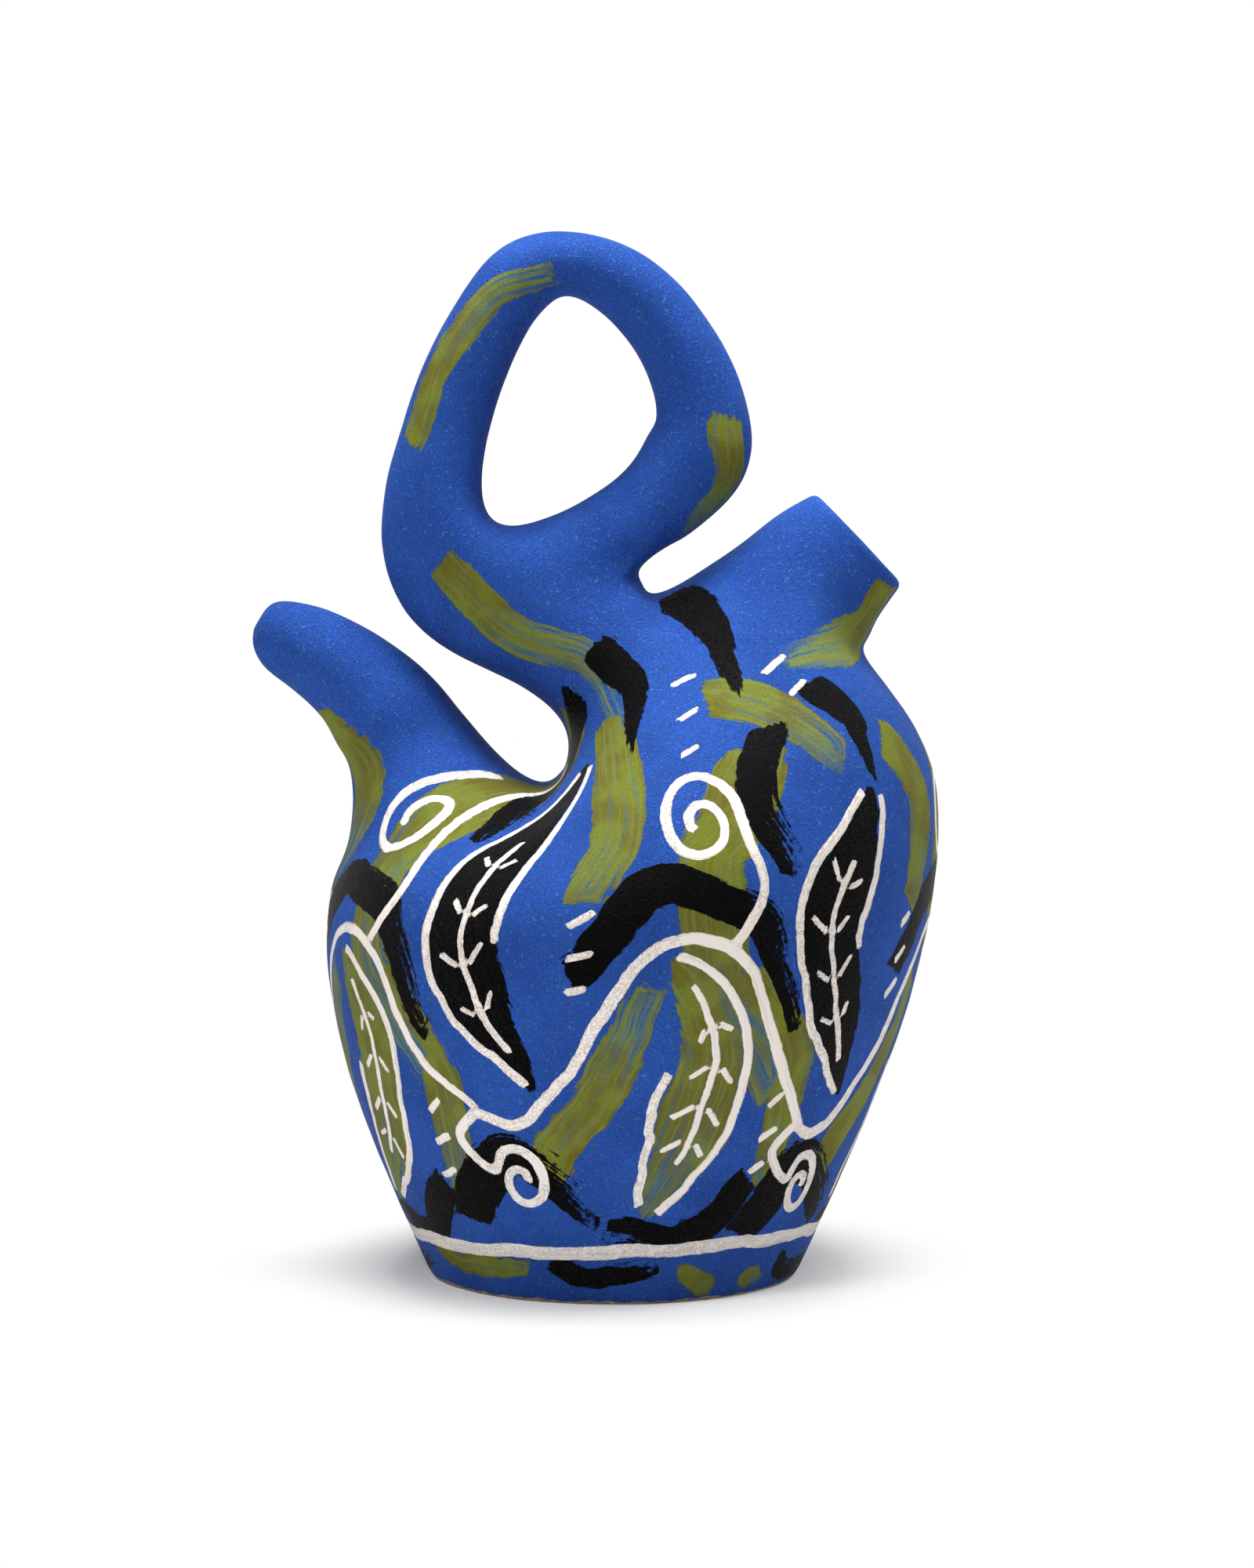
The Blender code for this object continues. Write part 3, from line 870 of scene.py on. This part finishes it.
# slip: brushed-on liquid clay, fired dull and never glazed, so it scatters light and has next to no shine;
# the blue has dried to a leathery grain, olive and black show the bristles, and cream lies thick on top

paint = {
    "ground": "2951A8",
    "groundDeep": "23489A",
    "groundPale": "5690DA",
    "olive": "737A18",
    "oliveGold": "68640C",
    "oliveGrey": "767F42",
    "oliveDark": "444618",
    "teal": "2C6488",
    "black": "040405",
    "cream": "EFE6DF",
    "creamThin": "DCD3CC",
    "bareClay": "C9AE93",
    "grog": "A98B70",
    "rough": 0.62,
    "blackRough": 0.5,
    "specular": 0.03,
    "sheen": 0.04,
    "sheenRough": 0.35,
    "paleShare": 0.3,    # of the grain's ridges
    "greyShare": 0.75,   # of olive's fullest bristle marks
    "poolShare": 0.4,    # of olive's edge
    "cloud": 34,         # millimetres, as are the sizes below
    "grain": 1.4,        # a little coarser than the real grain, which is too fine to show
    "tint": 18,
    "pool": 1.8,
    "speck": 2.2,
    "leanWidth": 9,      # half the width over which a black stroke runs dry from one side
    "bareFoot": 1.6,     # clay left bare above the ground
    "bareWave": 6,
    "bareReach": 6,
    "grogSize": 1.6,
    "reliefHeight": 0.95,
    # shares of that height
    "grainRelief": 0.5,
    "filledRelief": 0.12,    # where olive fills the grain
    "blackRelief": 0.08,
    "oliveRelief": 0.07,
    "creamRelief": 0.2,
    "creamSlope": 1.3,   # millimetres from a cream line's edge to its full height
}

# ragged edge and its stray, width and length of a bristle's mark, how far it frays the edge, softness
coats = {
    "olive": {"ragged": 5.0, "stray": 0.7, "hair": 2.0, "run": 44, "fray": 1.1, "soft": 0.6},
    "black": {"ragged": 4.0, "stray": 0.5, "hair": 1.6, "run": 26, "fray": 0.9, "soft": 0.45},
    "cream": {"ragged": 3.0, "stray": 0.2, "hair": 1.4, "run": 30, "fray": 0.25, "soft": 0.35},
}


def colour(code):    # sRGB hex to linear
    channels = [int(code[i:i + 2], 16) / 255 for i in (0, 2, 4)]
    return [c / 12.92 if c <= 0.04045 else ((c + 0.055) / 1.055) ** 2.4 for c in channels] + [1]


def addNode(tree, kind, feeds=None, **settings):    # feeds: values, sockets, or nodes for their first output
    node = tree.nodes.new("ShaderNode" + kind)
    for key, value in settings.items():
        setattr(node, key, value)
    sockets = [s for s in node.inputs if s.enabled]
    for key, value in (feeds or {}).items():
        socket = sockets[key] if isinstance(key, int) else next(s for s in sockets if s.name == key)
        if isinstance(value, bpy.types.Node):
            value = next(s for s in value.outputs if s.enabled)
        if isinstance(value, bpy.types.NodeSocket):
            tree.links.new(value, socket)
        else:
            socket.default_value = value
    return node


def perMillimetre(size):    # texture scale for a pattern of that size, on coordinates in metres
    return 1 / (size * millimetre)


def paintedSlip():
    material = bpy.data.materials.new("matteSlipOnEarthenware")
    material.use_nodes = True
    tree = material.node_tree
    shader = tree.nodes["Principled BSDF"]
    where = addNode(tree, "TexCoord").outputs["Object"]
    tones = {name: colour(code) for name, code in paint.items() if isinstance(code, str)}
    smooth = {"interpolation_type": "SMOOTHSTEP"}
    mixing = {"data_type": "RGBA"}

    # blue ground: two thin coats, cloudy, with a leathery grain of short ridges
    cloud = {"Vector": where, "Scale": perMillimetre(paint["cloud"]), "Detail": 3}
    cloud = addNode(tree, "TexNoise", cloud)
    cloud = addNode(tree, "MapRange", {"Value": cloud, "From Min": 0.38, "From Max": 0.62}, **smooth)
    blue = {"Factor": cloud, "A": tones["groundDeep"], "B": tones["ground"]}
    surface = addNode(tree, "Mix", blue, **mixing)
    worm = {"Vector": where, "Scale": perMillimetre(paint["grain"]), "Detail": 0.5, "Distortion": 0.6}
    worm = addNode(tree, "TexNoise", worm)
    worm = addNode(tree, "Math", {0: worm, 1: 0.5}, operation="SUBTRACT")
    worm = addNode(tree, "Math", {0: worm}, operation="ABSOLUTE")
    grain = {"Value": worm, "From Min": 0.0, "From Max": 0.08, "To Min": 1, "To Max": 0}
    grain = addNode(tree, "MapRange", grain, **smooth)
    broken = {"Vector": where, "Scale": perMillimetre(2 * paint["grain"]), "Detail": 1}
    broken = addNode(tree, "TexNoise", broken)
    broken = addNode(tree, "MapRange", {"Value": broken, "From Min": 0.28, "From Max": 0.48}, **smooth)
    grain = addNode(tree, "Math", {0: grain, 1: broken}, operation="MULTIPLY")
    pale = addNode(tree, "Math", {0: grain, 1: paint["paleShare"]}, operation="MULTIPLY")
    surface = addNode(tree, "Mix", {"Factor": pale, "A": surface, "B": tones["groundPale"]}, **mixing)

    # each coat's strokes: ragged edge and what lies inside it, bristle marks, dryness
    edges, masks, hairs, dryness, sides = {}, {}, {}, {}, {}
    for name, coat in coats.items():
        stroke = addNode(tree, "Attribute", attribute_name=name + "Stroke").outputs["Vector"]
        edge, across, _ = addNode(tree, "SeparateXYZ", {0: stroke}).outputs
        ragged = {"Vector": where, "Scale": perMillimetre(coat["ragged"]), "Detail": 3}
        ragged = addNode(tree, "TexNoise", ragged)
        stray = {"To Min": -coat["stray"], "To Max": coat["stray"]}
        ragged = addNode(tree, "MapRange", {"Value": ragged, "From Min": 0.3, "From Max": 0.7, **stray})
        ragged = addNode(tree, "Math", {0: edge, 1: ragged}, operation="ADD")
        marks = {0: stroke, 1: (0, 1 / coat["hair"], 1 / coat["run"])}
        marks = addNode(tree, "VectorMath", marks, operation="MULTIPLY")
        marks = {"Vector": marks, "Scale": 1, "Detail": 3, "Roughness": 0.6}
        hairs[name] = addNode(tree, "TexNoise", marks)
        fray = {"To Min": -coat["fray"], "To Max": coat["fray"]}
        frayed = addNode(tree, "MapRange", {"Value": hairs[name], "From Min": 0.3, "From Max": 0.7, **fray})
        edges[name] = addNode(tree, "Math", {0: ragged, 1: frayed}, operation="ADD")
        inside = {"Value": edges[name], "From Min": 0, "From Max": coat["soft"]}
        masks[name] = addNode(tree, "MapRange", inside, **smooth)
        dryness[name] = addNode(tree, "Attribute", attribute_name=name + "Dry").outputs["Fac"]
        sides[name] = across

    # olive: thin, so the blue turns it teal where the bristles parted, and dark where it pooled at the edge
    dry = addNode(tree, "Math", {0: dryness["olive"], 1: 0.42}, operation="MULTIPLY")
    thick = addNode(tree, "Math", {0: hairs["olive"], 1: dry}, operation="SUBTRACT")
    thick = addNode(tree, "MapRange", {"Value": thick, "From Min": 0.08, "From Max": 0.42}, **smooth)
    tint = addNode(tree, "TexNoise", {"Vector": where, "Scale": perMillimetre(paint["tint"]), "Detail": 2})
    tint = addNode(tree, "MapRange", {"Value": tint, "From Min": 0.4, "From Max": 0.6}, **smooth)
    tone = addNode(tree, "Mix", {"Factor": tint, "A": tones["oliveGold"], "B": tones["olive"]}, **mixing)
    grey = {"Value": hairs["olive"], "From Min": 0.46, "From Max": 0.68, "To Max": paint["greyShare"]}
    grey = addNode(tree, "MapRange", grey, **smooth)
    tone = addNode(tree, "Mix", {"Factor": grey, "A": tone, "B": tones["oliveGrey"]}, **mixing)
    tone = addNode(tree, "Mix", {"Factor": thick, "A": tones["teal"], "B": tone}, **mixing)
    pooled = {"Value": edges["olive"], "From Min": 0, "From Max": paint["pool"]}
    pooled = addNode(tree, "MapRange", {**pooled, "To Min": paint["poolShare"], "To Max": 0})
    tone = addNode(tree, "Mix", {"Factor": pooled, "A": tone, "B": tones["oliveDark"]}, **mixing)
    cover = addNode(tree, "MapRange", {"Value": thick, "From Max": 0.45, "To Min": 0.15, "To Max": 0.97})
    olive = addNode(tree, "Math", {0: masks["olive"], 1: cover}, operation="MULTIPLY")
    surface = addNode(tree, "Mix", {"Factor": olive, "A": surface, "B": tone}, **mixing)

    # black: dense where the brush was full, broken into streaks where it ran dry, first on one side
    speck = {"Vector": where, "Scale": perMillimetre(paint["speck"]), "Detail": 2}
    speck = addNode(tree, "TexNoise", speck)
    ragged = addNode(tree, "Mix", {"Factor": 0.3, "A": hairs["black"], "B": speck})
    lift = {"Value": dryness["black"], "From Min": 0.15, "From Max": 1, "To Min": -0.2, "To Max": 0.62}
    lift = addNode(tree, "MapRange", lift)
    lean = {"Value": sides["black"], "From Min": -paint["leanWidth"], "From Max": paint["leanWidth"]}
    lean = addNode(tree, "MapRange", {**lean, "To Min": -0.24, "To Max": 0.24})
    lift = addNode(tree, "Math", {0: lift, 1: lean}, operation="ADD")
    full = addNode(tree, "Math", {0: ragged, 1: lift}, operation="SUBTRACT")
    full = addNode(tree, "MapRange", {"Value": full, "From Min": -0.04, "From Max": 0.05}, **smooth)
    black = addNode(tree, "Math", {0: masks["black"], 1: full}, operation="MULTIPLY")
    surface = addNode(tree, "Mix", {"Factor": black, "A": surface, "B": tones["black"]}, **mixing)

    # cream: thick and chalky, a little thinner between the bristles
    chalk = addNode(tree, "MapRange", {"Value": hairs["cream"], "From Min": 0.3, "From Max": 0.5}, **smooth)
    tone = addNode(tree, "Mix", {"Factor": chalk, "A": tones["creamThin"], "B": tones["cream"]}, **mixing)
    surface = addNode(tree, "Mix", {"Factor": masks["cream"], "A": surface, "B": tone}, **mixing)

    # bare clay on the foot and inside, speckled with grog
    bare = addNode(tree, "Attribute", attribute_name="bare").outputs["Fac"]
    wave = {"Vector": where, "Scale": perMillimetre(paint["bareWave"]), "Detail": 2}
    wave = {"Value": addNode(tree, "TexNoise", wave), "From Min": 0.3, "From Max": 0.7}
    wave = addNode(tree, "MapRange", {**wave, "To Min": -0.6, "To Max": 0.6})
    bare = addNode(tree, "Math", {0: bare, 1: wave}, operation="ADD")
    bare = addNode(tree, "MapRange", {"Value": bare, "From Max": 0.4}, **smooth)
    grog = {"Vector": where, "Scale": perMillimetre(paint["grogSize"]), "Detail": 2}
    grog = addNode(tree, "TexNoise", grog)
    grog = addNode(tree, "MapRange", {"Value": grog, "From Min": 0.42, "From Max": 0.62}, **smooth)
    tone = addNode(tree, "Mix", {"Factor": grog, "A": tones["grog"], "B": tones["bareClay"]}, **mixing)
    surface = addNode(tree, "Mix", {"Factor": bare, "A": surface, "B": tone}, **mixing)

    rough = {"Value": black, "To Min": paint["rough"], "To Max": paint["blackRough"]}
    rough = addNode(tree, "MapRange", rough)

    # relief: the grain, which olive fills, then the thickness of each coat
    unfilled = {"Value": olive, "To Min": paint["grainRelief"], "To Max": paint["filledRelief"]}
    unfilled = addNode(tree, "MapRange", unfilled)
    ridge = addNode(tree, "Math", {0: grain, 1: unfilled}, operation="MULTIPLY")
    relief = {0: black, 1: paint["blackRelief"], 2: ridge}
    relief = addNode(tree, "Math", relief, operation="MULTIPLY_ADD")
    relief = {0: olive, 1: paint["oliveRelief"], 2: relief}
    relief = addNode(tree, "Math", relief, operation="MULTIPLY_ADD")
    thickness = {"Value": edges["cream"], "From Max": paint["creamSlope"], "To Max": paint["creamRelief"]}
    thickness = addNode(tree, "MapRange", thickness, **smooth)
    relief = addNode(tree, "Math", {0: relief, 1: thickness}, operation="MAXIMUM")
    height = {"Height": relief, "Distance": paint["reliefHeight"] * millimetre}
    bump = addNode(tree, "Bump", height)
    for socket, node in (("Base Color", surface), ("Roughness", rough), ("Normal", bump)):
        tree.links.new(next(s for s in node.outputs if s.enabled), shader.inputs[socket])
    shader.inputs["Specular IOR Level"].default_value = paint["specular"]
    shader.inputs["Sheen Weight"].default_value = paint["sheen"]
    shader.inputs["Sheen Roughness"].default_value = paint["sheenRough"]
    return material


# finishing a piece: paint, normals of the whole skin, and its place in the frame

def finishPiece(piece, node, brush, material, depthFrom=None):
    mesh = piece.data
    count = len(mesh.vertices)
    points = np.empty(count * 3, np.float32)
    mesh.vertices.foreach_get("co", points)
    points = points.reshape(-1, 3).astype(float)
    slots = np.empty(len(mesh.polygons), np.int32)
    mesh.polygons.foreach_get("material_index", slots)
    corners = np.empty(len(mesh.loops), np.int32)
    mesh.loops.foreach_get("vertex_index", corners)
    sizes = np.empty(len(mesh.polygons), np.int32)
    mesh.polygons.foreach_get("loop_total", sizes)
    cornerSlot = np.repeat(slots, sizes)
    outside = np.zeros(count, bool)
    outside[corners[cornerSlot < innerSlot]] = True

    reach = float(paint["bareReach"])
    bare = np.full(count, reach)
    bare[outside] = paint["bareFoot"] - points[outside, 2] / millimetre
    if depthFrom:
        centre, outward, painted = depthFrom
        depth = -(points - np.array(centre)) @ np.array(outward) / millimetre
        bare[~outside] = depth[~outside] - painted
    layers = brush.paint(points / millimetre, outside)
    bare = np.clip(bare, -reach, reach).astype(np.float32)
    mesh.attributes.new("bare", "FLOAT", "POINT").data.foreach_set("value", bare)
    for name, values in layers.items():
        vectors = np.ascontiguousarray(values[:, :3], np.float32).ravel()
        mesh.attributes.new(name + "Stroke", "FLOAT_VECTOR", "POINT").data.foreach_set("vector", vectors)
        dryness = values[:, 3].astype(np.float32)
        mesh.attributes.new(name + "Dry", "FLOAT", "POINT").data.foreach_set("value", dryness)

    pickOnly(piece)
    bpy.ops.object.shade_smooth_by_angle(angle=math.radians(clay["creaseAngle"]))
    if node != "floor_disc":    # which turns under and away from the skin
        skinNormals = np.empty(count * 3, np.float32)
        mesh.attributes["skinNormal"].data.foreach_get("vector", skinNormals)
        cornerNormals = skinNormals.reshape(-1, 3)[corners]
        cornerNormals[cornerSlot >= innerSlot] = 0
        mesh.normals_split_custom_set(cornerNormals)
    mesh.polygons.foreach_set("material_index", np.zeros(len(slots), np.int32))
    mesh.materials.clear()
    mesh.materials.append(material)
    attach(piece, "root")
    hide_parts(node)
    print("finished", node, "with", sum(len(p.vertices) - 2 for p in mesh.polygons), "triangles")


def dressJug():
    cage = modelCage()
    fine, slim = makeSkin(cage, clay["fineLevel"]), makeSkin(cage, clay["slimLevel"])
    print("modelled the skin")
    brush = Brush(slim)
    brushBody(brush)
    brushLimbs(brush)
    material = paintedSlip()
    finishPiece(makeFloor(fine), "floor_disc", brush, material)
    ends = {}    # centre, way out, and how far in the slip goes
    for name, limb in (("spout", spout), ("filler_neck", neck)):
        side, height, _, angle = limb["stations"][-1]
        ends[name] = (place((side, height)), direction(angle), limb["slipInside"])
    for name in cutPieces:
        piece = cutPiece(slim if name in ("spout", "handle_loop") else fine, name)
        if name in ends:
            roundLip(piece, *ends[name][:2])
        finishPiece(piece, name, brush, material, ends.get(name))
    for spare in (cage, fine, slim):
        bpy.data.objects.remove(spare)


# studio: a white floor, soft light from above, the front and the right, and the photograph's camera

studio = {
    "cameraAt": (0.0051, -1.8, 0.34),
    "cameraTilt": 4.8,
    "lens": 108.04,
    "sensorWidth": 36,
    "floorSize": 12,
    "worldLight": 0.01,
    "lamps": [    # name, place, width, depth, watts
        ("overheadStrip", (0, -0.03, 1.3), 0.8, 0.3, 18.5),
        ("highBox", (-0.7, -1.1, 1.3), 0.6, 0.6, 15),
        ("sideBox", (1.1, -0.1, 1.5), 0.6, 0.6, 12),
    ],
    "aim": (0, 0, 0.2),
    "paperBounce": 0.9,               # how much light the paper throws back up
    "paperSeen": 0.95,                # how white it looks to the camera
    "fadeFrom": (-0.008, 0.02, 0),    # the middle of the shadow
    "fade": (0.06, 0.156),            # metres from there over which the paper goes quite white
}


def softbox(name, spot, width, depth, power):
    bpy.ops.object.light_add(type="AREA", location=spot)
    lamp = bpy.context.object
    lamp.name = name
    lamp.data.shape = "RECTANGLE"
    lamp.data.size = width
    lamp.data.size_y = depth
    lamp.data.energy = power
    lamp.rotation_euler = (Vector(studio["aim"]) - Vector(spot)).to_track_quat("-Z", "Y").to_euler()


def seenStraight(tree):    # 1 for what the camera sees, mirrored or through glass too, else 0
    seen = addNode(tree, "LightPath").outputs
    straight = addNode(tree, "Math", {0: seen["Is Camera Ray"], 1: seen["Is Glossy Ray"]}, operation="ADD")
    return addNode(tree, "Math", {0: straight, 1: seen["Is Transmission Ray"]}, operation="ADD")


def setStudio():
    bpy.ops.object.camera_add(location=studio["cameraAt"])
    camera = bpy.context.object
    camera.rotation_euler = (math.radians(90 - studio["cameraTilt"]), 0, 0)
    camera.data.lens = studio["lens"]
    camera.data.sensor_width = studio["sensorWidth"]
    bpy.context.scene.camera = camera
    for lamp in studio["lamps"]:
        softbox(*lamp)

    bpy.ops.mesh.primitive_plane_add(size=studio["floorSize"])
    ground = bpy.context.object
    ground.name = "studioFloor"
    material = bpy.data.materials.new("whitePaper")
    material.use_nodes = True
    tree = material.node_tree
    tree.nodes.clear()
    white = addNode(tree, "Emission", {"Color": (1, 1, 1, 1), "Strength": 1.0})
    paper = addNode(tree, "BsdfDiffuse", {"Color": [studio["paperBounce"]] * 3 + [1]})
    look = addNode(tree, "BsdfDiffuse", {"Color": [studio["paperSeen"]] * 3 + [1]})
    spot = addNode(tree, "TexCoord").outputs["Object"]
    far = addNode(tree, "VectorMath", {0: spot, 1: studio["fadeFrom"]}, operation="SUBTRACT")
    far = addNode(tree, "VectorMath", {0: far}, operation="LENGTH").outputs["Value"]
    near, beyond = studio["fade"]
    fade = {"Value": far, "From Min": near, "From Max": beyond}
    fade = addNode(tree, "MapRange", fade, interpolation_type="SMOOTHSTEP")
    look = addNode(tree, "MixShader", {0: fade, 1: look, 2: white})
    mixed = addNode(tree, "MixShader", {0: seenStraight(tree), 1: paper, 2: look})
    addNode(tree, "OutputMaterial", {"Surface": mixed})
    ground.data.materials.append(material)

    world = bpy.data.worlds.new("studioAir")
    world.use_nodes = True
    tree = world.node_tree
    tree.nodes.clear()
    air = addNode(tree, "Background", {"Color": (1, 1, 1, 1), "Strength": studio["worldLight"]})
    white = addNode(tree, "Background", {"Color": (1, 1, 1, 1), "Strength": 1.0})
    mixed = addNode(tree, "MixShader", {0: seenStraight(tree), 1: air, 2: white})
    addNode(tree, "OutputWorld", {"Surface": mixed})
    bpy.context.scene.world = world
    bpy.context.scene.view_settings.view_transform = "Standard"
    print("studio set")


dressJug()
setStudio()
